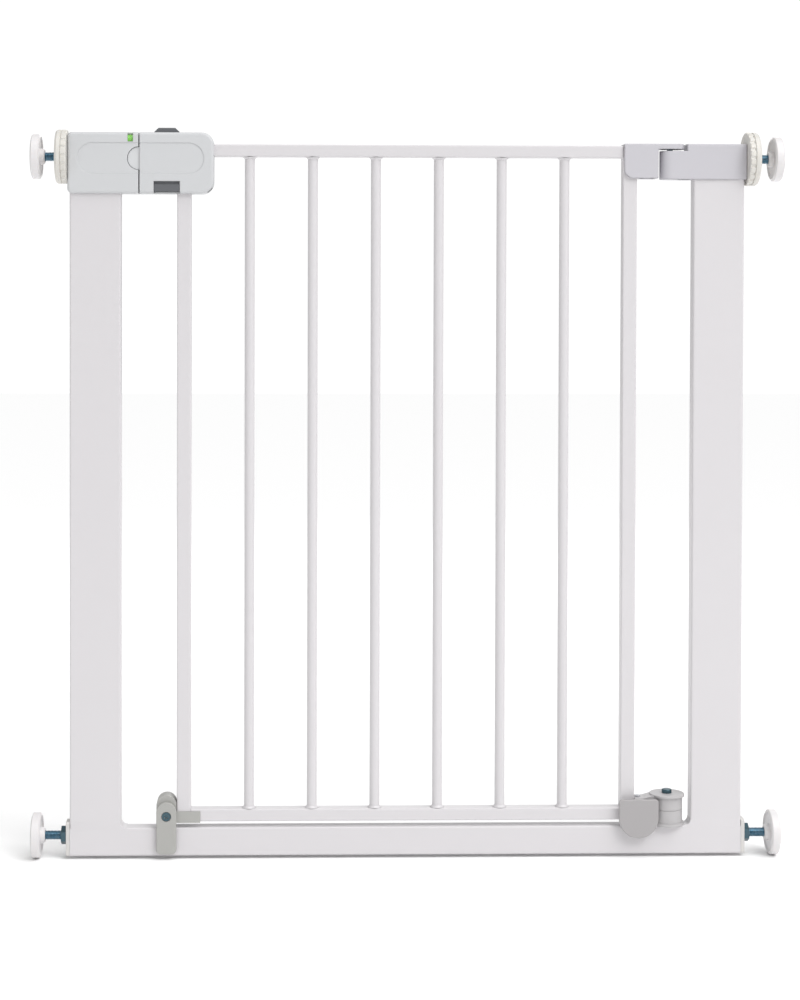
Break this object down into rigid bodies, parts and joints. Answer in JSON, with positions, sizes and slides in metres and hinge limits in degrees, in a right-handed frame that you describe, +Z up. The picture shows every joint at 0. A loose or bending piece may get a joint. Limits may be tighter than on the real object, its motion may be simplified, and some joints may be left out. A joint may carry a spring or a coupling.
{
  "type": "pressure-fit safety baby gate",
  "caption": "Pressure-fit metal safety gate with a barred swinging door, squeeze latch, hinge housings and screw spindles with wall pads.",
  "frame": {"origin": "middle of the gate, level with the lowest point of the wall pads", "axes": "+X from the latch side to the hinge side, -Y towards the person who opens the door, +Z up"},
  "size_m": [0.795, 0.057, 0.7735],
  "materials": {
    "white_coat": "white powder coat, satin",
    "cap_plastic": "matt light grey plastic",
    "latch_shell": "fine satin light grey plastic",
    "keeper_plastic": "smooth light grey plastic",
    "bolt_plastic": "smooth light grey plastic",
    "button": "satin dark grey plastic",
    "flag_green": "gloss green plastic",
    "flag_red": "gloss red plastic",
    "window_clear": "clear plastic",
    "hinge_shell": "satin cool grey plastic",
    "lower_hinge_shell": "satin light grey plastic",
    "shield_plastic": "satin mid grey plastic",
    "stop_plastic": "satin warm grey plastic",
    "white_plastic": "satin white plastic",
    "ivory_plastic": "satin ivory plastic",
    "pad_rubber": "soft white rubber",
    "zinc": "bright zinc",
    "blue_zinc": "blue passivated zinc",
    "spring_wire": "spring steel wire"
  },
  "bodies": {
    "frame": {"left_upright": "white_coat", "right_upright": "white_coat", "bottom_rail": "white_coat", "frame_corner_welds": "white_coat", "left_end_cap": "cap_plastic", "right_end_cap": "cap_plastic", "frame_latch_front": "latch_shell", "frame_latch_rear": "latch_shell", "frame_latch_screws": "zinc", "keeper": "keeper_plastic", "indicator_lens": "window_clear", "hinge_housing": "hinge_shell", "hinge_housing_screw": "zinc", "upper_hinge_pin": "zinc", "lower_hinge_base": "lower_hinge_shell", "closing_spring": "spring_wire", "lower_hinge_bolt": "blue_zinc", "lower_hinge_nut": "zinc", "top_left_bush": "white_plastic", "top_right_bush": "white_plastic"},
    "door": {"latch_stile": "white_coat", "hinge_stile": "white_coat", "top_rail": "white_coat", "lower_rail": "white_coat", "bars": "white_coat", "gate_latch_front": "latch_shell", "gate_latch_rear": "latch_shell", "gate_latch_screws": "zinc", "upper_hinge_cap": "hinge_shell", "upper_cap_screw": "zinc", "lower_hinge_bracket": "lower_hinge_shell", "bracket_screw": "zinc", "hinge_shield": "shield_plastic", "stop_body": "stop_plastic", "stop_screw": "zinc"},
    "bolt": {"latch_bolt": "bolt_plastic", "bolt_spring": "spring_wire"},
    "top_button": {"top_button": "button"},
    "bottom_button": {"bottom_button": "button"},
    "indicator": {"indicator_green": "flag_green", "indicator_red": "flag_red"},
    "stop_flap": {"stop_flap": "stop_plastic"},
    "top_left_spindle": {"top_left_rod": "blue_zinc", "top_left_pad": "white_plastic", "top_left_pad_face": "pad_rubber"},
    "top_left_wheel": {"top_left_wheel": "ivory_plastic"},
    "top_right_spindle": {"top_right_rod": "blue_zinc", "top_right_pad": "white_plastic", "top_right_pad_face": "pad_rubber"},
    "top_right_wheel": {"top_right_wheel": "ivory_plastic"},
    "bottom_left_spindle": {"bottom_left_rod": "blue_zinc", "bottom_left_pad": "white_plastic", "bottom_left_pad_face": "pad_rubber"},
    "bottom_left_nut": {"bottom_left_nut": "blue_zinc"},
    "bottom_right_spindle": {"bottom_right_rod": "blue_zinc", "bottom_right_pad": "white_plastic", "bottom_right_pad_face": "pad_rubber"},
    "bottom_right_nut": {"bottom_right_nut": "blue_zinc"}
  },
  "joints": [
    {"name": "door_swing", "type": "hinge", "parent": "frame", "child": "door", "pos_m": [0.279, 0, 0.4], "axis": [0, 0, 1], "range_deg": [0, 90], "stiffness_Nm_per_rad": 0.4, "springref_deg": -22.92},
    {"name": "bolt_slide", "type": "slide", "parent": "door", "child": "bolt", "axis": [1, 0, 0], "range_m": [0, 0.013], "stiffness_N_per_m": 150, "springref_m": -0.008, "deforming": ["bolt_spring"]},
    {"name": "top_button_press", "type": "slide", "parent": "door", "child": "top_button", "axis": [0, 0, -1], "range_m": [0, 0.0036]},
    {"name": "bottom_button_press", "type": "slide", "parent": "door", "child": "bottom_button", "axis": [0, 0, 1], "range_m": [0, 0.0031]},
    {"name": "indicator_turn", "type": "hinge", "parent": "frame", "child": "indicator", "pos_m": [-0.293, -0.0054, 0.7609], "axis": [1, 0, 0], "range_deg": [0, 181]},
    {"name": "stop_flap_turn", "type": "hinge", "parent": "door", "child": "stop_flap", "pos_m": [-0.2547, -0.0128, 0.046], "axis": [0, 1, 0], "range_deg": [0, 180]},
    {"name": "top_left_wheel_turn", "type": "hinge", "parent": "frame", "child": "top_left_wheel", "pos_m": [-0.365, 0, 0.743], "axis": [1, 0, 0], "range_deg": [-2762, 2882]},
    {"name": "top_left_spindle_slide", "type": "slide", "parent": "frame", "child": "top_left_spindle", "axis": [-1, 0, 0], "range_m": [-0.0115, 0.012]},
    {"name": "top_right_wheel_turn", "type": "hinge", "parent": "frame", "child": "top_right_wheel", "pos_m": [0.365, 0, 0.743], "axis": [-1, 0, 0], "range_deg": [-2762, 2882]},
    {"name": "top_right_spindle_slide", "type": "slide", "parent": "frame", "child": "top_right_spindle", "axis": [1, 0, 0], "range_m": [-0.0115, 0.012]},
    {"name": "bottom_left_nut_turn", "type": "hinge", "parent": "frame", "child": "bottom_left_nut", "pos_m": [-0.365, 0, 0.0235], "axis": [1, 0, 0], "range_deg": [-2522, 2882]},
    {"name": "bottom_left_spindle_slide", "type": "slide", "parent": "frame", "child": "bottom_left_spindle", "axis": [-1, 0, 0], "range_m": [-0.0105, 0.012]},
    {"name": "bottom_right_nut_turn", "type": "hinge", "parent": "frame", "child": "bottom_right_nut", "pos_m": [0.365, 0, 0.0235], "axis": [-1, 0, 0], "range_deg": [-2522, 2882]},
    {"name": "bottom_right_spindle_slide", "type": "slide", "parent": "frame", "child": "bottom_right_spindle", "axis": [1, 0, 0], "range_m": [-0.0105, 0.012]}
  ],
  "couplings": [
    {"joint": "top_button_press", "follows": "bolt_slide", "ratio": 0.26923},
    {"joint": "bottom_button_press", "follows": "bolt_slide", "ratio": 0.23077},
    {"joint": "indicator_turn", "follows": "bolt_slide", "rad_per_m": 241.66},
    {"joint": "top_left_wheel_turn", "follows": "top_left_spindle_slide", "rad_per_m": 4188.8},
    {"joint": "top_right_wheel_turn", "follows": "top_right_spindle_slide", "rad_per_m": 4188.8},
    {"joint": "bottom_left_nut_turn", "follows": "bottom_left_spindle_slide", "rad_per_m": 4188.8},
    {"joint": "bottom_right_nut_turn", "follows": "bottom_right_spindle_slide", "rad_per_m": 4188.8}
  ]
}
